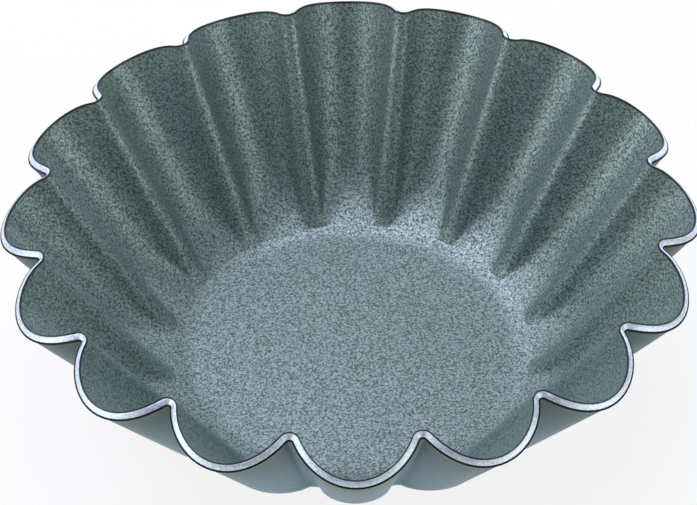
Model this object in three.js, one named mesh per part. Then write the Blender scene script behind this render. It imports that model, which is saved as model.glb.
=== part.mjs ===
// A small fluted tart pan, pressed from one round blank of steel sheet.
// A thin non-stick film lines the sheet and another covers its outside, and the bare cut edge
// of the steel shows between the two films all round the rim.
//
// Millimetres, +Z up. The origin is the centre of the underside, and the crown of a flute lies on +X.

import * as THREE from 'three';
import { ParametricGeometry } from 'three/addons/geometries/ParametricGeometry.js';
import { mergeGeometries, mergeVertices } from 'three/addons/utils/BufferGeometryUtils.js';

// Driving dimensions. Radii, depths and heights run to the middle of the steel sheet.

const FLUTES = 16;
const RIM_CROWN_RADIUS = 39.6; // out to the crowns of the flutes at the rim
const RIM_FLUTE_DEPTH = 4.25; // from a crown in to a notch at the rim
const RIM_NOTCH_BEND = 0.4; // clear radius of the bend in a notch, on its outside, at the rim
const RIM_DIP = 2.25; // how far the crowns of the rim lie below its notches
const RIM_DIP_CURVE = 1.5; // 1 would dip evenly from notch to crown, and more dips late
const WALL_HEIGHT = 23.4; // from the base up to the notches of the rim
const CUT_LEAN = 22; // degrees that the cut edge of the rim leans outwards from square
const BASE_RADIUS = 18.6; // of the flat middle of the base
const CURL_WIDTH = 2.8; // from the flat out to the round crease that edges the base
const CURL_LIFT = 0.45; // how far the base curls up on its way to that crease
const BAND_WIDTH = 0.25; // of the straight round band between the crease and the corner under the wall
const RIDGE_FOOT_REACH = 0.8; // from the band out to a ridge, both carried on to a sharp corner
const RIDGE_RISE = 1.1; // how far that corner lies above the crease under a ridge
const FOOT_FLUTE_DEPTH = 3.45; // from a crown in to a ridge at that corner
const FOOT_NOTCH_BEND = 0.8; // clear radius of the bend in a notch, on its outside, at that corner
const POCKET_RISE = 1.0; // how much higher the corner lies under a crown
const STEEL_THICKNESS = 0.62;
const INNER_COAT_THICKNESS = 0.07;
const OUTER_COAT_THICKNESS = 0.07;

// How finely the curved sheet is divided.

const LOBE_STEPS = 4; // along half of a flute's rounded lobe
const NOTCH_STEPS = 1; // along half of the bend in a notch
const FLAT_STEPS = 1; // from the centre to the edge of the flat
const CURL_STEPS = 2; // from the flat to the crease
const BAND_STEPS = 1; // from the crease to the start of the corner
const CORNER_STEPS = 3; // round the corner at the foot of the wall
const WALL_STEPS = 1; // up the wall

// Worked out from the sizes above.

const HALF_FLUTE = Math.PI / FLUTES;
const HALF_STEPS = LOBE_STEPS + NOTCH_STEPS;
const STEPS_AROUND = 2 * FLUTES * HALF_STEPS;
const BASE_STEPS = FLAT_STEPS + CURL_STEPS + BAND_STEPS;
const STEPS_OUTWARD = BASE_STEPS + CORNER_STEPS + WALL_STEPS;

const STEEL_INSIDE = STEEL_THICKNESS / 2;
const STEEL_OUTSIDE = -STEEL_THICKNESS / 2;
const COATED_INSIDE = STEEL_INSIDE + INNER_COAT_THICKNESS;
const COATED_OUTSIDE = STEEL_OUTSIDE - OUTER_COAT_THICKNESS;

const BASE_LEVEL = -COATED_OUTSIDE;
const NOTCH_LEVEL = BASE_LEVEL + WALL_HEIGHT;
const CREASE = new THREE.Vector2(BASE_RADIUS + CURL_WIDTH, BASE_LEVEL + CURL_LIFT);
const RIDGE_FOOT_RADIUS = CREASE.x + BAND_WIDTH + RIDGE_FOOT_REACH;
const CURL_BEND = (CURL_WIDTH ** 2 + CURL_LIFT ** 2) / (2 * CURL_LIFT);
const CURL_ANGLE = 2 * Math.atan2(CURL_LIFT, CURL_WIDTH);
const CUT_SLANT = Math.tan(THREE.MathUtils.degToRad(CUT_LEAN));

// One ring of flutes in plan: round lobes that meet in narrow notches, every arc tangent to the next.
// The bends are given by their clear radius, so the sheet's half thickness is added to them here.

function fluteRing(crownRadius, fluteDepth, clearBend) {
  const bend = clearBend - COATED_OUTSIDE;
  const bendCentre = crownRadius - fluteDepth + bend;
  const bendX = bendCentre * Math.cos(HALF_FLUTE);
  const bendY = bendCentre * Math.sin(HALF_FLUTE);
  const lobe =
    (crownRadius ** 2 + bendCentre ** 2 - 2 * crownRadius * bendX - bend ** 2) /
    (2 * (crownRadius - bendX + bend));
  const lobeCentre = crownRadius - lobe;
  const lobeEnd = Math.atan2(bendY, bendX - lobeCentre);

  // A point on half a flute: share 0 is the crown, on +X, and share 1 the root of the notch.
  function halfFlute(share) {
    const step = share * HALF_STEPS;
    if (step <= LOBE_STEPS) {
      const angle = (lobeEnd * step) / LOBE_STEPS;
      return new THREE.Vector2(lobeCentre + lobe * Math.cos(angle), lobe * Math.sin(angle));
    }
    const angle = THREE.MathUtils.mapLinear(step, LOBE_STEPS, HALF_STEPS, lobeEnd, HALF_FLUTE);
    return new THREE.Vector2(bendX - bend * Math.cos(angle), bendY - bend * Math.sin(angle));
  }

  // The ring as one closed curve, from 0 to 1 all the way round.
  return function ringPoint(around) {
    const flute = Math.round(around * FLUTES);
    const offset = 2 * (around * FLUTES - flute);
    const point = halfFlute(Math.abs(offset));
    if (offset < 0) point.y = -point.y;
    return point.rotateAround(new THREE.Vector2(), 2 * HALF_FLUTE * flute);
  };
}

const rimRing = fluteRing(RIM_CROWN_RADIUS, RIM_FLUTE_DEPTH, RIM_NOTCH_BEND);
const footRing = fluteRing(RIDGE_FOOT_RADIUS + FOOT_FLUTE_DEPTH, FOOT_FLUTE_DEPTH, FOOT_NOTCH_BEND);

// The blank was round, so its edge stands highest in the notches of the rim and lowest at the crowns.

function rimPoint(around) {
  const plan = rimRing(around);
  const outOfNotch = (plan.length() - RIM_CROWN_RADIUS) / RIM_FLUTE_DEPTH + 1;
  const dip = RIM_DIP * Math.max(outOfNotch, 0) ** RIM_DIP_CURVE;
  return new THREE.Vector3(plan.x, plan.y, NOTCH_LEVEL - dip);
}

// The corner where the base and the wall would meet if both ran on, higher under a crown than a ridge.

function cornerPoint(around) {
  const plan = footRing(around);
  const outOfRidge = (plan.length() - RIDGE_FOOT_RADIUS) / FOOT_FLUTE_DEPTH;
  return new THREE.Vector3(plan.x, plan.y, CREASE.y + RIDGE_RISE + POCKET_RISE * outOfRidge);
}

function upWall(around) {
  return rimPoint(around).sub(cornerPoint(around)).normalize();
}

// The dished base: a flat, an arc up to the crease, then a straight band that heads for the corner.

function basePoint(around, step) {
  const corner = cornerPoint(around);
  const reach = Math.hypot(corner.x, corner.y);
  const spoke = new THREE.Vector3(corner.x / reach, corner.y / reach, 0);
  if (step <= FLAT_STEPS) return spoke.setLength((BASE_RADIUS * step) / FLAT_STEPS).setZ(BASE_LEVEL);
  const curlStep = Math.min(step - FLAT_STEPS, CURL_STEPS);
  const angle = (CURL_ANGLE * curlStep) / CURL_STEPS;
  const curl = spoke
    .setLength(BASE_RADIUS + CURL_BEND * Math.sin(angle))
    .setZ(BASE_LEVEL + CURL_BEND * (1 - Math.cos(angle)));
  const bandStep = step - FLAT_STEPS - curlStep;
  const bandShare = BAND_WIDTH / (reach - CREASE.x);
  return curl.lerp(corner, (bandShare * bandStep) / BAND_STEPS);
}

// A circular arc that leaves start towards corner and arrives at end, with both equally far from corner.

function cornerArc(start, corner, end, share) {
  const toStart = start.clone().sub(corner);
  const toEnd = end.clone().sub(corner);
  const pull = Math.sin(toStart.angleTo(toEnd) / 2);
  const weights = [(1 - share) ** 2, 2 * pull * share * (1 - share), share ** 2];
  return new THREE.Vector3()
    .addScaledVector(start, weights[0])
    .addScaledVector(corner, weights[1])
    .addScaledVector(end, weights[2])
    .divideScalar(weights[0] + weights[1] + weights[2]);
}

// The middle of the sheet. outward runs from 0 at the centre of the base, over its edge and round the
// corner at the foot of the wall, to 1 at the rim. The corner is small under a ridge and wide under a
// crown, where it leaves a round pocket.

function middlePoint(around, outward) {
  const step = outward * STEPS_OUTWARD;
  const base = basePoint(around, Math.min(step, BASE_STEPS));
  if (step <= BASE_STEPS) return base;
  const corner = cornerPoint(around);
  const wallFoot = corner.clone().addScaledVector(upWall(around), corner.distanceTo(base));
  const cornerStep = step - BASE_STEPS;
  if (cornerStep <= CORNER_STEPS) {
    return cornerArc(base, corner, wallFoot, cornerStep / CORNER_STEPS);
  }
  return wallFoot.lerp(rimPoint(around), (cornerStep - CORNER_STEPS) / WALL_STEPS);
}

// The way the inside of the pan faces, square to the sheet.

const NUDGE = 1e-5;

function inwardNormal(around, outward) {
  if (outward * STEPS_OUTWARD < FLAT_STEPS) return new THREE.Vector3(0, 0, 1);
  const alongRing = middlePoint(around + NUDGE, outward).sub(middlePoint(around - NUDGE, outward));
  const upSheet = middlePoint(around, outward + NUDGE).sub(middlePoint(around, outward - NUDGE));
  return upSheet.cross(alongRing).normalize();
}

// A point at a distance from the middle of the sheet. At the rim it follows the lean of the cut edge.

function sheetPoint(around, outward, offset) {
  const point = middlePoint(around, outward).addScaledVector(inwardNormal(around, outward), offset);
  if (outward < 1) return point;
  return point.addScaledVector(upWall(around), offset * CUT_SLANT);
}

// One face of a layer, at a distance from the middle of the sheet. Two layers that touch share it.

function face(offset) {
  return new ParametricGeometry(
    (outward, around, target) => target.copy(sheetPoint(around, outward, offset)),
    STEPS_OUTWARD,
    STEPS_AROUND,
  );
}

// The cut edge of a layer round the rim, from its inner face out to its outer face.

function cutEdge(inside, outside) {
  return new ParametricGeometry(
    (across, around, target) =>
      target.copy(sheetPoint(around, 1, THREE.MathUtils.lerp(inside, outside, across))),
    1,
    STEPS_AROUND,
  );
}

function turnedOver(geometry) {
  const index = geometry.getIndex();
  for (let i = 0; i < index.count; i += 3) {
    const first = index.getX(i);
    index.setX(i, index.getX(i + 1));
    index.setX(i + 1, first);
  }
  return geometry;
}

// Sews open surfaces into one closed body, without the triangles that shrink to a line at the axis.

function sewn(surfaces) {
  const joined = mergeGeometries(surfaces);
  joined.deleteAttribute('normal');
  joined.deleteAttribute('uv');
  const body = mergeVertices(joined);
  const corners = Array.from(body.getIndex().array);
  const kept = [];
  for (let i = 0; i < corners.length; i += 3) {
    const triangle = corners.slice(i, i + 3);
    if (new Set(triangle).size === 3) kept.push(...triangle);
  }
  body.setIndex(kept);
  body.computeVertexNormals();
  return body;
}

function layer(name, inside, outside, finish) {
  const body = sewn([face(inside), cutEdge(inside, outside), turnedOver(face(outside))]);
  const mesh = new THREE.Mesh(body, new THREE.MeshStandardMaterial(finish));
  mesh.name = name;
  return mesh;
}

// The three layers of the coated sheet, from the lining out.

const NONSTICK_LINING = { color: 0x6a7b7f, roughness: 0.5, metalness: 0.0 };
const BARE_STEEL = { color: 0xd2dbe4, roughness: 0.35, metalness: 1.0 };
const OUTSIDE_COAT = { color: 0x6d7d7e, roughness: 0.45, metalness: 0.0 };

const tartPan = new THREE.Group();
tartPan.name = 'fluted_tart_pan';
tartPan.add(
  layer('inner_coat', COATED_INSIDE, STEEL_INSIDE, NONSTICK_LINING),
  layer('steel_shell', STEEL_INSIDE, STEEL_OUTSIDE, BARE_STEEL),
  layer('outer_coat', STEEL_OUTSIDE, COATED_OUTSIDE, OUTSIDE_COAT),
);

export default tartPan;
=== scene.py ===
# %% [markdown]
# # A small fluted tart pan
#
# The real pan starts as a round blank of thin steel, coated on both faces. One stroke of a fluted die
# presses it into a flat base and a flared, scalloped wall. This lesson makes it the same way: it spins
# a flat blank, presses every point of it to where the die would take it, and gives the sheet its three
# layers. The finishes, the studio and the camera come after the metalwork.

# %% Load the frame
import math

import bmesh
import bpy
from mathutils import Matrix, Vector


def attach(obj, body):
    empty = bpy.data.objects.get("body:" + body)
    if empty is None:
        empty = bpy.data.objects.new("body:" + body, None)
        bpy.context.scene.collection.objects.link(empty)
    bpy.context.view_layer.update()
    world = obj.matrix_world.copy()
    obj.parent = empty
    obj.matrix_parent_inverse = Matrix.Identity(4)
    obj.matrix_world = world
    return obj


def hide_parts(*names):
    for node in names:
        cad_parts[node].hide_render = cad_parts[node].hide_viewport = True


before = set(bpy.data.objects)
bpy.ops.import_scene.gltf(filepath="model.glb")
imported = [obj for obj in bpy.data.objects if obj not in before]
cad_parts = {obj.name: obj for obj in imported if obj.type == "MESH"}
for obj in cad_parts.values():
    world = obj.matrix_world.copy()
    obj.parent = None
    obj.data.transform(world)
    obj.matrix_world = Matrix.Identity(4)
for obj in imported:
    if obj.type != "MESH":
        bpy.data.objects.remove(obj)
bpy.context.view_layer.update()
print("layers of the sheet:", sorted(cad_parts))

# %% [markdown]
# ## Sizes of the pressing
#
# A sheet-metal part is drawn on the middle of its sheet, and its faces lie half a thickness to each
# side. The same few sizes drive the solid model, so the fine mesh made here lands on it.

# %% Sizes
MM = 0.001
FLUTES = 16
RIM_CROWN_RADIUS = 39.6 * MM
RIM_FLUTE_DEPTH = 4.25 * MM
RIM_NOTCH_BEND = 0.4 * MM
RIM_DIP = 2.25 * MM
RIM_DIP_CURVE = 1.5
WALL_HEIGHT = 23.4 * MM
CUT_LEAN = math.radians(22)
BASE_RADIUS = 18.6 * MM
CURL_WIDTH = 2.8 * MM
CURL_LIFT = 0.45 * MM
BAND_WIDTH = 0.25 * MM
RIDGE_FOOT_REACH = 0.8 * MM
RIDGE_RISE = 1.1 * MM
FOOT_FLUTE_DEPTH = 3.45 * MM
FOOT_NOTCH_BEND = 0.8 * MM
POCKET_RISE = 1.0 * MM
STEEL_THICKNESS = 0.62 * MM
COAT_THICKNESS = 0.07 * MM

STEEL_FACE = STEEL_THICKNESS / 2
COATED_FACE = STEEL_FACE + COAT_THICKNESS
BASE_LEVEL = COATED_FACE
NOTCH_LEVEL = BASE_LEVEL + WALL_HEIGHT
CREASE = Vector((BASE_RADIUS + CURL_WIDTH, BASE_LEVEL + CURL_LIFT))
RIDGE_FOOT_RADIUS = CREASE.x + BAND_WIDTH + RIDGE_FOOT_REACH
HALF_FLUTE = math.pi / FLUTES
print(f"sheet {2 * COATED_FACE / MM:.2f} mm thick, base {2 * CREASE.x / MM:.1f} mm across")

# %% [markdown]
# ## The curve of the flutes
#
# Seen from above, a ring of flutes is made of two arcs only: a wide round lobe, and the tight bend of
# the notch between two lobes. Each arc leaves the other without a kink, because their centres and the
# point where they meet lie on one line. Writing the ring as a function of a turn, 0 to 1 all the way
# round, lets the rim and the foot of the wall share it with sizes of their own.

# %% One ring of flutes
LOBE_STEPS = 14
NOTCH_STEPS = 6
HALF_STEPS = LOBE_STEPS + NOTCH_STEPS
STEPS_AROUND = 2 * FLUTES * HALF_STEPS


def flute_ring(crown_radius, flute_depth, clear_bend):
    bend = clear_bend + COATED_FACE
    bend_centre = crown_radius - flute_depth + bend
    bend_x = bend_centre * math.cos(HALF_FLUTE)
    bend_y = bend_centre * math.sin(HALF_FLUTE)
    gap = crown_radius**2 + bend_centre**2 - 2 * crown_radius * bend_x - bend**2
    lobe = gap / (2 * (crown_radius - bend_x + bend))
    lobe_centre = crown_radius - lobe
    lobe_end = math.atan2(bend_y, bend_x - lobe_centre)

    def half_flute(step):
        if step <= LOBE_STEPS:
            angle = lobe_end * step / LOBE_STEPS
            return Vector((lobe_centre + lobe * math.cos(angle), lobe * math.sin(angle)))
        angle = lobe_end + (HALF_FLUTE - lobe_end) * (step - LOBE_STEPS) / NOTCH_STEPS
        return Vector((bend_x - bend * math.cos(angle), bend_y - bend * math.sin(angle)))

    def ring_point(turn):
        flute = round(turn * FLUTES)
        offset = 2 * (turn * FLUTES - flute)
        point = half_flute(abs(offset) * HALF_STEPS)
        point.y = math.copysign(point.y, offset)
        return Matrix.Rotation(2 * HALF_FLUTE * flute, 2) @ point

    return ring_point


rim_ring = flute_ring(RIM_CROWN_RADIUS, RIM_FLUTE_DEPTH, RIM_NOTCH_BEND)
foot_ring = flute_ring(RIDGE_FOOT_RADIUS + FOOT_FLUTE_DEPTH, FOOT_FLUTE_DEPTH, FOOT_NOTCH_BEND)
print(f"{FLUTES} flutes, {STEPS_AROUND} points round the rim")

# %% [markdown]
# ## Where the die takes each point
#
# A point of the blank is named by its turn and by its station, which counts rings outwards from the
# centre. The base is a disc: flat in the middle, curling up a little to a round crease. Past the crease
# the sheet heads for the corner under the wall, runs round it and climbs straight to the rim. The
# corner is a true arc, tight under each ridge and wide under each lobe, where it leaves the round
# pocket at the foot of the flute. The edge of a round blank is drawn down where the flutes are deep, so
# the rim dips at the crowns and stands highest in the notches.

# %% The rim and the corner
def rim_point(turn):
    plan = rim_ring(turn)
    out_of_notch = (plan.length - RIM_CROWN_RADIUS) / RIM_FLUTE_DEPTH + 1
    dip = RIM_DIP * max(out_of_notch, 0) ** RIM_DIP_CURVE
    return Vector((plan.x, plan.y, NOTCH_LEVEL - dip))


def corner_point(turn):
    plan = foot_ring(turn)
    out_of_ridge = (plan.length - RIDGE_FOOT_RADIUS) / FOOT_FLUTE_DEPTH
    return Vector((plan.x, plan.y, CREASE.y + RIDGE_RISE + POCKET_RISE * out_of_ridge))


def up_wall(turn):
    return (rim_point(turn) - corner_point(turn)).normalized()


def corner_arc(start, corner, end, share):
    pull = math.sin((start - corner).angle(end - corner) / 2)
    weights = ((1 - share) ** 2, 2 * pull * share * (1 - share), share**2)
    return (start * weights[0] + corner * weights[1] + end * weights[2]) / sum(weights)


print(f"a crown leans out {90 - math.degrees(math.asin(up_wall(0).z)):.0f} degrees from upright")

# %% The base
FLAT_STEPS = 4
CURL_STEPS = 6
BAND_STEPS = 2
BASE_STEPS = FLAT_STEPS + CURL_STEPS + BAND_STEPS
CURL_BEND = (CURL_WIDTH**2 + CURL_LIFT**2) / (2 * CURL_LIFT)
CURL_ANGLE = 2 * math.atan2(CURL_LIFT, CURL_WIDTH)


def base_point(turn, station):
    corner = corner_point(turn)
    reach = corner.xy.length
    spoke = corner.xy / reach
    if station <= FLAT_STEPS:
        return Vector((*(spoke * BASE_RADIUS * station / FLAT_STEPS), BASE_LEVEL))
    curl_station = min(station - FLAT_STEPS, CURL_STEPS)
    angle = CURL_ANGLE * curl_station / CURL_STEPS
    radius = BASE_RADIUS + CURL_BEND * math.sin(angle)
    curl = Vector((*(spoke * radius), BASE_LEVEL + CURL_BEND * (1 - math.cos(angle))))
    band_station = station - FLAT_STEPS - curl_station
    band_share = BAND_WIDTH / (reach - CREASE.x)
    return curl.lerp(corner, band_share * band_station / BAND_STEPS)


print(f"the base curls up {math.degrees(CURL_ANGLE):.0f} degrees at its crease")

# %% The pressed shape
CORNER_STEPS = 14
WALL_STEPS = 18
STATIONS = BASE_STEPS + CORNER_STEPS + WALL_STEPS


def pressed_point(turn, station):
    base = base_point(turn, min(station, BASE_STEPS))
    if station <= BASE_STEPS:
        return base
    corner = corner_point(turn)
    wall_foot = corner + up_wall(turn) * (corner - base).length
    past_base = station - BASE_STEPS
    if past_base <= CORNER_STEPS:
        return corner_arc(base, corner, wall_foot, past_base / CORNER_STEPS)
    return wall_foot.lerp(rim_point(turn), (past_base - CORNER_STEPS) / WALL_STEPS)


print(f"{STATIONS} stations from the centre to the rim")

# %% [markdown]
# ## The round blank
#
# A line of points along +X, one for each station, is spun once round the axis. A full spin leaves the
# last copy on the first and all the centre points in one place, so the doubles are merged, and then
# the normals are made to agree and to point up.

# %% Spin the blank
SAME_PLACE = 0.001


def round_blank():
    blank = bmesh.new()
    tip = bmesh.ops.create_vert(blank, co=(0, 0, 0))["vert"][0]
    for _ in range(STATIONS):
        tip = bmesh.ops.extrude_vert_indiv(blank, verts=[tip])["verts"][0]
        bmesh.ops.translate(blank, verts=[tip], vec=(1, 0, 0))
    bmesh.ops.spin(
        blank,
        geom=blank.verts[:] + blank.edges[:],
        cent=(0, 0, 0),
        axis=(0, 0, 1),
        angle=2 * math.pi,
        steps=STEPS_AROUND,
        use_merge=True,
    )
    bmesh.ops.remove_doubles(blank, verts=blank.verts[:], dist=SAME_PLACE)
    bmesh.ops.recalc_face_normals(blank, faces=blank.faces[:])
    if sum(face.normal.z for face in blank.faces) < 0:
        bmesh.ops.reverse_faces(blank, faces=blank.faces[:])
    return blank


sheet = round_blank()
print(f"blank: {len(sheet.verts)} points, {len(sheet.faces)} faces")

# %% [markdown]
# ## The stroke of the press
#
# Each point moves to its pressed place. It also keeps its distance from the rim, because the finishes
# need to know where the cut edge is. The shear leaves that edge leaning outwards, so each point of the
# rim notes which way its skins have to slide, up the wall, for each step away from the middle.

# %% Press the blank
def press(blank):
    to_rim = blank.verts.layers.float.new("to_rim")
    lean = blank.verts.layers.float_vector.new("lean")
    for vert in blank.verts:
        turn = math.atan2(vert.co.y, vert.co.x) / (2 * math.pi)
        if vert.is_boundary:
            vert[lean] = up_wall(turn) * math.tan(CUT_LEAN)
        vert.co = pressed_point(turn, vert.co.length)
        vert[to_rim] = (rim_point(turn) - vert.co).length


press(sheet)
print(f"pressed to {max(vert.co.z for vert in sheet.verts) / MM:.2f} mm high")

# %% [markdown]
# ## Three layers from one sheet
#
# A layer is two skins, each moved out from the middle of the sheet along the normals. A Solidify
# modifier would do for one layer, but the three have to meet face to face, so each skin is placed from
# the same middle. Each film ends in a small bead along the rim, which shows as a dark line beside the
# bright metal, so a film's outer skin is moved out a little more there.

# %% Place the skins
INNER_BEAD = 0.08 * MM
OUTER_BEAD = 0.13 * MM


def skin_offset(offset, at_rim):
    if at_rim and offset > STEEL_FACE:
        return offset + INNER_BEAD
    if at_rim and offset < -STEEL_FACE:
        return offset - OUTER_BEAD
    return offset


def two_skins(inside, outside):
    body = sheet.copy()
    copied = bmesh.ops.duplicate(body, geom=body.verts[:] + body.edges[:] + body.faces[:])["geom"]
    lower = {part for part in copied if isinstance(part, bmesh.types.BMVert)}
    lean = body.verts.layers.float_vector["lean"]
    body.normal_update()
    for vert in body.verts:
        offset = skin_offset(outside if vert in lower else inside, vert.is_boundary)
        vert.co += (vert.normal + vert[lean]) * offset
    lower_faces = [part for part in copied if isinstance(part, bmesh.types.BMFace)]
    bmesh.ops.reverse_faces(body, faces=lower_faces)
    return body


print(f"beads of {INNER_BEAD / MM:.2f} mm inside and {OUTER_BEAD / MM:.2f} mm outside")

# %% [markdown]
# ## The cut edge
#
# Bridging the open loops of the two skins makes the cut edge and closes the layer. The steel's edge is
# rounded a little with a bevel, as shearing leaves it. A film is too thin for that, so its edges are
# marked sharp and keep their crease when the faces are shaded smooth.

# %% Close the rim
EDGE_ROUNDING = 0.06 * MM
EDGE_SEGMENTS = 3
EDGE_PROFILE = 0.5


def close_rim(body, rounding):
    rim = [edge for edge in body.edges if edge.is_boundary]
    bmesh.ops.bridge_loops(body, edges=rim)
    bmesh.ops.recalc_face_normals(body, faces=body.faces[:])
    for face in body.faces:
        face.smooth = True
    if rounding:
        bmesh.ops.bevel(
            body,
            geom=rim,
            offset=rounding,
            offset_type="OFFSET",
            segments=EDGE_SEGMENTS,
            profile=EDGE_PROFILE,
            affect="EDGES",
            material=-1,
        )
    else:
        for edge in rim:
            edge.smooth = False


def to_object(name, body):
    mesh = bpy.data.meshes.new(name)
    body.to_mesh(mesh)
    body.free()
    piece = bpy.data.objects.new(name, mesh)
    bpy.context.scene.collection.objects.link(piece)
    return piece


def layer(name, inside, outside, rounding=0):
    body = two_skins(inside, outside)
    close_rim(body, rounding)
    return to_object(name, body)


lining = layer("speckled_lining", COATED_FACE, STEEL_FACE)
steel = layer("pressed_steel", STEEL_FACE, -STEEL_FACE, EDGE_ROUNDING)
outside = layer("outside_film", -STEEL_FACE, -COATED_FACE)
sheet.free()
for piece, node, slot in (
    (lining, "inner_coat", "nonstick_lining"),
    (steel, "steel_shell", "bare_steel"),
    (outside, "outer_coat", "outside_coat"),
):
    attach(piece, "root")
    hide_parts(node)
    print(piece.name, len(piece.data.polygons), "faces")

# %% [markdown]
# ## Writing shaders as sums
#
# A shader is a web of sockets. This small class stands for one socket, so that a line such as
# `marks * 0.2 + 0.4` adds the Math nodes for it, and `node` adds any other kind of node. The last four
# methods are the steps that the finishes share: a stretch and a soft ramp between two values, a blend
# of two colours, and a noise with grains of a given size.

# %% A socket that does arithmetic
class Wire:
    def __init__(self, tree, socket=None):
        self.tree = tree
        self.socket = socket

    def feed(self, target, value):
        if isinstance(value, Wire):
            self.tree.links.new(value.socket, target)
        else:
            target.default_value = value

    def node(self, kind, settings=None, sockets=None, output=0):
        node = self.tree.nodes.new(kind)
        for name, value in (settings or {}).items():
            setattr(node, name, value)
        for name, value in (sockets or {}).items():
            self.feed(node.inputs[name], value)
        return Wire(self.tree, node.outputs[output])

    def __add__(self, other):
        return self.node("ShaderNodeMath", {"operation": "ADD"}, {0: self, 1: other})

    def __mul__(self, other):
        return self.node("ShaderNodeMath", {"operation": "MULTIPLY"}, {0: self, 1: other})

    def stretch(self, low, high, course="LINEAR"):
        return self.node(
            "ShaderNodeMapRange",
            {"interpolation_type": course},
            {"Value": self, "From Min": low, "From Max": high},
        )

    def ramp(self, low, high):
        return self.stretch(low, high, "SMOOTHSTEP")

    def blend(self, first, second):
        return self.node(
            "ShaderNodeMix",
            {"data_type": "RGBA"},
            {"Factor": self, 6: first, 7: second},
            output=2,
        )

    def noise(self, size, detail):
        return self.node(
            "ShaderNodeTexNoise", None, {"Vector": self, "Scale": 1 / size, "Detail": detail}
        )


def new_finish(name):
    material = bpy.data.materials.new(name)
    material.use_nodes = True
    surface = material.node_tree.nodes["Principled BSDF"]
    return material, surface, Wire(material.node_tree)


print("shader sums ready")

# %% [markdown]
# ## Painted shade along the cut edge
#
# Both films get a thin strip of painted shade along the cut edge: a dark line that stands in for the
# shading at the films' edge. Each point of the sheet kept its distance from the rim, so the strip is a
# soft step in that distance, and it follows every flute.

# %% The painted shade along the cut edge
# The dark colour, width and softness of the painted shade along the cut edge
EDGE_SHADE_COLOUR = (0.012, 0.016, 0.017, 1)
EDGE_SHADE_WIDTH = 0.26 * MM
EDGE_SHADE_BLUR = 0.052 * MM


def rim_distance(wire):
    return wire.node("ShaderNodeAttribute", {"attribute_name": "to_rim"}, output="Fac")


def past_edge_shade(to_rim):
    return to_rim.ramp(EDGE_SHADE_WIDTH - EDGE_SHADE_BLUR, EDGE_SHADE_WIDTH + EDGE_SHADE_BLUR)


print(f"sheared strip {EDGE_SHADE_WIDTH / MM:.2f} mm wide")

# %% [markdown]
# ## The speckled lining
#
# The non-stick film is a satin grey-green, full of fine pale flakes. An image could be wrapped over it,
# but it would stretch in the flutes. The mean of two noises, one turned against the other, fills space
# evenly and has no direction of its own. Where it is high, a flake lies at the surface, pale and
# metallic, and where it is low, plain film shows. The film stands up a little over each flake, which
# the bump gives, and its gloss is tinted slightly blue.

# %% The lining's finish
GRAIN = 0.28 * MM
FINE_GRAIN = 0.2 * MM
GRAIN_DETAIL = 1.0
GRAIN_TURN = (0.6, 0.9, 0.35)
FLAKES_BEGIN = 0.39
FLAKES_FULL = 0.61
FILM_COLOUR = (0.037, 0.082, 0.049, 1)
FLAKE_COLOUR = (0.385, 0.49, 0.46, 1)
FLAKE_METAL = 0.86
FLAKE_HEIGHT = 0.02 * MM
BUMP_STRENGTH = 1.0
FILM_TINT = (0.7, 0.84, 1, 1)
LINING_ROUGHNESS = 0.45
LINING_IOR = 1.7


def lining_finish():
    material, surface, wire = new_finish("nonstick_lining")
    place = wire.node("ShaderNodeTexCoord", output="Object")
    turned = wire.node("ShaderNodeMapping", None, {"Vector": place, "Rotation": GRAIN_TURN})
    grain = (place.noise(GRAIN, GRAIN_DETAIL) + turned.noise(FINE_GRAIN, GRAIN_DETAIL)) * 0.5
    flakes = grain.stretch(FLAKES_BEGIN, FLAKES_FULL)
    film = flakes.blend(FILM_COLOUR, FLAKE_COLOUR)
    # Painted shade: a dark line along the cut edge, where the film also has no metal flakes
    clear_of_edge_shade = past_edge_shade(rim_distance(wire))
    wire.feed(surface.inputs["Base Color"], clear_of_edge_shade.blend(EDGE_SHADE_COLOUR, film))
    wire.feed(surface.inputs["Metallic"], flakes * clear_of_edge_shade * FLAKE_METAL)
    surface.inputs["Roughness"].default_value = LINING_ROUGHNESS
    surface.inputs["IOR"].default_value = LINING_IOR
    surface.inputs["Specular Tint"].default_value = FILM_TINT
    relief = {"Strength": BUMP_STRENGTH, "Distance": FLAKE_HEIGHT, "Height": grain}
    wire.feed(surface.inputs["Normal"], wire.node("ShaderNodeBump", None, relief))
    return material


lining.data.materials.append(lining_finish())
print("lining:", lining.data.materials[0].name)

# %% [markdown]
# ## The bare cut edge
#
# Steel shows in one place only, the sheared edge of the rim. It is bright and slightly blue. The shear
# leaves fine marks on it, so a noise blends a duller and a brighter steel, and the same marks make it
# rougher.

# %% The steel's finish
STEEL_DULL = (0.62, 0.75, 0.86, 1)
STEEL_BRIGHT = (0.9, 0.97, 1, 1)
MARK_SIZE = 0.25 * MM
MARK_DETAIL = 3.0
MARKS_DULL = 0.35
MARKS_BRIGHT = 0.65
STEEL_ROUGHNESS = 0.4
MARK_ROUGHNESS = 0.2


def steel_finish():
    material, surface, wire = new_finish("bare_steel")
    place = wire.node("ShaderNodeTexCoord", output="Object")
    marks = place.noise(MARK_SIZE, MARK_DETAIL)
    colour = marks.ramp(MARKS_DULL, MARKS_BRIGHT).blend(STEEL_DULL, STEEL_BRIGHT)
    wire.feed(surface.inputs["Base Color"], colour)
    surface.inputs["Metallic"].default_value = 1.0
    wire.feed(surface.inputs["Roughness"], marks * MARK_ROUGHNESS + STEEL_ROUGHNESS)
    return material


steel.data.materials.append(steel_finish())
print("steel:", steel.data.materials[0].name)
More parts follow.
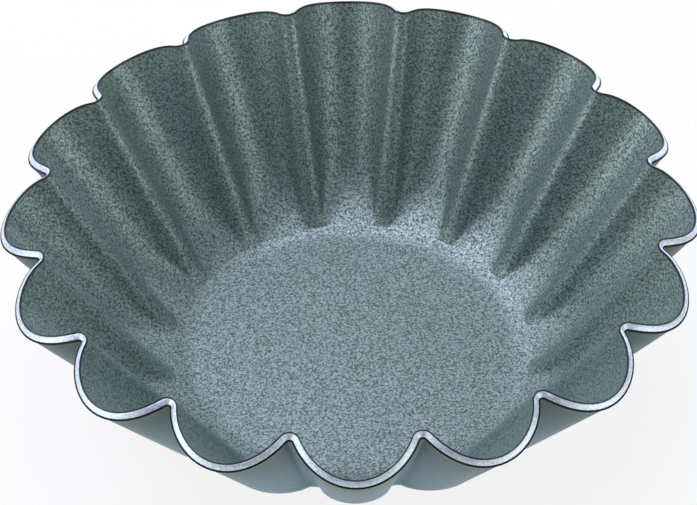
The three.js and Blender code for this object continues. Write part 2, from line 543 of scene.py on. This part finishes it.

# %% [markdown]
# ## The outside film
#
# The outside film has no flakes in it, so it is smoother than the lining and only faintly mottled. It is
# blue-grey at the foot, and painted shade turns it darker and greener towards the rim, where the rim
# shades it. The same distance from the rim drives that painted shade.

# %% The outside's finish
OUTSIDE_COLOUR = (0.255, 0.41, 0.475, 1)
OUTSIDE_SHADE = (0.195, 0.32, 0.365, 1)
# The colour of the painted shade under the rim, and how far from the rim it fades out
RIM_SHADE_ON_OUTSIDE = (0.083, 0.13, 0.1, 1)
RIM_SHADE_REACH = 18 * MM
MOTTLE_SIZE = 0.4 * MM
MOTTLE_DETAIL = 2.0
MOTTLE_DARK = 0.3
MOTTLE_LIGHT = 0.7
OUTSIDE_ROUGHNESS = 0.4
MOTTLE_ROUGHNESS = 0.1
OUTSIDE_IOR = 1.25


def outside_finish():
    material, surface, wire = new_finish("outside_coat")
    place = wire.node("ShaderNodeTexCoord", output="Object")
    mottle = place.noise(MOTTLE_SIZE, MOTTLE_DETAIL)
    foot = mottle.ramp(MOTTLE_DARK, MOTTLE_LIGHT).blend(OUTSIDE_SHADE, OUTSIDE_COLOUR)
    to_rim = rim_distance(wire)
    # Painted shade: the film darkens and turns greener towards the rim
    film = to_rim.stretch(0, RIM_SHADE_REACH).blend(RIM_SHADE_ON_OUTSIDE, foot)
    # Painted shade: a dark line along the cut edge
    wire.feed(surface.inputs["Base Color"], past_edge_shade(to_rim).blend(EDGE_SHADE_COLOUR, film))
    wire.feed(surface.inputs["Roughness"], mottle * MOTTLE_ROUGHNESS + OUTSIDE_ROUGHNESS)
    surface.inputs["IOR"].default_value = OUTSIDE_IOR
    surface.inputs["Specular Tint"].default_value = FILM_TINT
    return material


outside.data.materials.append(outside_finish())
print("outside:", outside.data.materials[0].name)

# %% [markdown]
# ## The floor
#
# The pan stands on a pale matt table. To the camera, and in reflections, most of the table's own shading
# is replaced by plain white, so the ground is clean and still keeps a faint shadow of the pan.

# %% The floor
WHITE = (1, 1, 1, 1)
FLOOR_SIZE = 6.0
FLOOR_GAP = 0.02 * MM
FLOOR_COLOUR = (0.9, 0.9, 0.9, 1)
FLOOR_ROUGHNESS = 0.9
FLOOR_WHITENING = 0.85


def floor_finish():
    material, surface, wire = new_finish("studio_floor")
    surface.inputs["Base Color"].default_value = FLOOR_COLOUR
    surface.inputs["Roughness"].default_value = FLOOR_ROUGHNESS
    seen = wire.node("ShaderNodeLightPath", output="Is Camera Ray")
    mirrored = wire.node("ShaderNodeLightPath", output="Is Glossy Ray")
    through = wire.node("ShaderNodeLightPath", output="Is Transmission Ray")
    white = wire.node("ShaderNodeEmission", None, {"Color": WHITE, "Strength": 1.0})
    table = Wire(wire.tree, surface.outputs["BSDF"])
    whitening = (seen + mirrored + through) * FLOOR_WHITENING
    look = wire.node("ShaderNodeMixShader", None, {0: whitening, 1: table, 2: white})
    wire.feed(material.node_tree.nodes["Material Output"].inputs["Surface"], look)
    return material


def studio_floor():
    floor = bmesh.new()
    bmesh.ops.create_grid(floor, x_segments=1, y_segments=1, size=FLOOR_SIZE / 2)
    bmesh.ops.translate(floor, verts=floor.verts[:], vec=(0, 0, -FLOOR_GAP))
    piece = to_object("studio_floor", floor)
    piece.data.materials.append(floor_finish())


studio_floor()
print(f"floor {FLOOR_SIZE:.0f} m across")

# %% [markdown]
# ## The lamps
#
# Six soft boxes all face the pan. The low ones at the left and right draw the bright bands down the
# flutes, the broad one overhead lights the base, the two behind reach into the pockets at the sides, and
# the thin one in front brightens the cut edge. All but the first two are slightly blue, as daylight is.
# A faint even glow fills in the rest.

# %% Lamps and glow
LAMPLIGHT = (1, 1, 1)
SKYLIGHT = (0.82, 0.81, 1)
GLOW = 0.02


def softbox(name, colour, watts, place, width, depth):
    lamp = bpy.data.lights.new(name, "AREA")
    lamp.shape = "RECTANGLE"
    lamp.size = width
    lamp.size_y = depth
    lamp.energy = watts
    lamp.color = colour
    box = bpy.data.objects.new(name, lamp)
    away = Vector(place)
    box.matrix_world = Matrix.Translation(away) @ away.to_track_quat("Z", "Y").to_matrix().to_4x4()
    bpy.context.scene.collection.objects.link(box)


softbox("left_softbox", LAMPLIGHT, 2.5, place=(-0.717, -0.268, 0.235), width=0.65, depth=0.65)
softbox("right_softbox", LAMPLIGHT, 2.05, place=(0.663, -0.362, 0.264), width=0.65, depth=0.65)
softbox("top_softbox", SKYLIGHT, 7.9, place=(-0.2, 0.17, 0.757), width=0.8, depth=0.95)
softbox("back_right_softbox", SKYLIGHT, 2.6, place=(0.5, 0.56, 0.28), width=0.6, depth=0.45)
softbox("back_left_softbox", SKYLIGHT, 1.6, place=(-0.5, 0.56, 0.28), width=0.6, depth=0.45)
softbox("front_softbox", SKYLIGHT, 0.42, place=(0, -0.79, 0.13), width=0.9, depth=0.2)
world = bpy.data.worlds.new("studio_glow")
world.use_nodes = True
world.node_tree.nodes["Background"].inputs["Color"].default_value = WHITE
world.node_tree.nodes["Background"].inputs["Strength"].default_value = GLOW
bpy.context.scene.world = world
bpy.context.scene.view_settings.view_transform = "Standard"
print("studio lit")

# %% [markdown]
# ## The camera
#
# The camera looks down into the pan from the front with a long lens, a little over four diameters away.
# It is turned about a point on the axis, level with the rim, and then aimed slightly off that point.

# %% Place the camera
VIEW_ELEVATION = math.radians(43.25)
VIEW_TURN = math.radians(-0.53)
VIEW_ROLL = math.radians(-0.7)
VIEW_DISTANCE = 342.5 * MM
VIEW_CENTRE = Vector((0, 0, 24.13 * MM))
IMAGE_WIDTH = 697
SENSOR_WIDTH = 36
LENS_PIXELS = 3022
AIM_RIGHT = -1.6 / LENS_PIXELS
AIM_DOWN = 45.4 / LENS_PIXELS


def place_camera():
    camera = bpy.data.cameras.new("camera")
    camera.sensor_width = SENSOR_WIDTH
    camera.lens = SENSOR_WIDTH * LENS_PIXELS / IMAGE_WIDTH
    holder = bpy.data.objects.new("camera", camera)
    orbit = Matrix.Rotation(VIEW_TURN, 4, "Z") @ Matrix.Rotation(math.pi / 2 - VIEW_ELEVATION, 4, "X")
    tilt = Matrix.Rotation(-AIM_DOWN, 4, "X") @ Matrix.Rotation(-AIM_RIGHT, 4, "Y")
    aim = Matrix.Rotation(VIEW_ROLL, 4, "Z") @ tilt
    holder.matrix_world = (
        Matrix.Translation(VIEW_CENTRE) @ orbit @ Matrix.Translation((0, 0, VIEW_DISTANCE)) @ aim
    )
    bpy.context.scene.collection.objects.link(holder)
    bpy.context.scene.camera = holder


place_camera()
print(f"lens {bpy.context.scene.camera.data.lens:.1f} mm")
